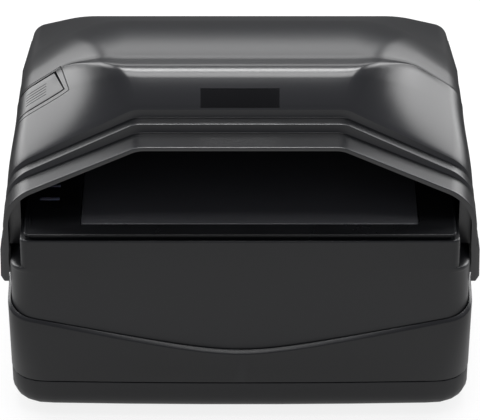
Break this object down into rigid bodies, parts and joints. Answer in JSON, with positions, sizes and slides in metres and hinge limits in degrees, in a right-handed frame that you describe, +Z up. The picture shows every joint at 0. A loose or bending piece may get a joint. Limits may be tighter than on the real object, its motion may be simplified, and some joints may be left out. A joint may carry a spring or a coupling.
{
  "type": "passport reader",
  "caption": "Desktop full-page document scanner with a glass window in its deck, under a rear-hinged arched hood that is open at the front and released by a push tab on its shoulder.",
  "frame": {"origin": "on the table, under the middle of the reader's outline", "axes": "+Z up, -Y towards the open front of the hood, +X to the right of someone facing that front"},
  "size_m": [0.186, 0.152, 0.1362],
  "materials": {
    "casing": "fine satin texture, near black",
    "hood": "satin, near black",
    "deck": "smooth, black",
    "window": "clear over a dark chamber",
    "chamber": "dead matt black",
    "rubber": "matt",
    "light_pipe": "clear moulding, unlit",
    "label": "smooth, bare",
    "board": "green solder mask",
    "component": "moulded, black",
    "heat_sink": "extruded",
    "steel": "bright zinc plated"
  },
  "bodies": {
    "base": {"base_plate": "casing", "foot_front_left": "rubber", "foot_front_right": "rubber", "foot_rear_left": "rubber", "foot_rear_right": "rubber", "base_screw_front_left": "steel", "base_screw_front_right": "steel", "base_screw_rear_left": "steel", "base_screw_rear_right": "steel", "lower_housing": "casing", "upper_housing": "casing", "top_frame": "deck", "scan_glass": "window", "glass_gasket": "rubber", "status_light_1": "light_pipe", "status_light_2": "light_pipe", "status_board": "board", "antenna_board": "board", "optical_chamber": "chamber", "camera_board": "board", "lens_barrel": "component", "front_lens": "window", "lamp_board_left": "board", "lamp_board_right": "board", "main_board": "board", "usb_socket": "steel", "power_socket": "component", "buzzer": "component", "processor_heat_sink": "heat_sink", "hinge_bracket_left": "steel", "hinge_bracket_right": "steel", "hinge_pin_left": "steel", "hinge_pin_right": "steel", "hinge_screw_left_a": "steel", "hinge_screw_left_b": "steel", "hinge_screw_right_a": "steel", "hinge_screw_right_b": "steel"},
    "hood": {"hood_shell": "hood", "label_plate": "label", "latch_pin": "steel", "latch_spring": "steel"},
    "button": {"release_button": "hood"},
    "latch": {"latch_lever": "component"}
  },
  "joints": [
    {"name": "hood_hinge", "type": "hinge", "parent": "base", "child": "hood", "pos_m": [0, 0.0696, 0.0595], "axis": [-1, 0, 0], "range_deg": [0, 75]},
    {"name": "button_press", "type": "hinge", "parent": "hood", "child": "button", "pos_m": [-0.0705, -0.021, 0.1186], "axis": [0, -1, 0], "range_deg": [0, 3.4], "stiffness_Nm_per_rad": 0.8, "springref_deg": -1.72},
    {"name": "latch_pivot", "type": "hinge", "parent": "hood", "child": "latch", "pos_m": [-0.0795, -0.021, 0.091], "axis": [0, 1, 0], "range_deg": [0, 4.59]}
  ],
  "couplings": [
    {"joint": "latch_pivot", "follows": "button_press", "ratio": 1.35}
  ]
}
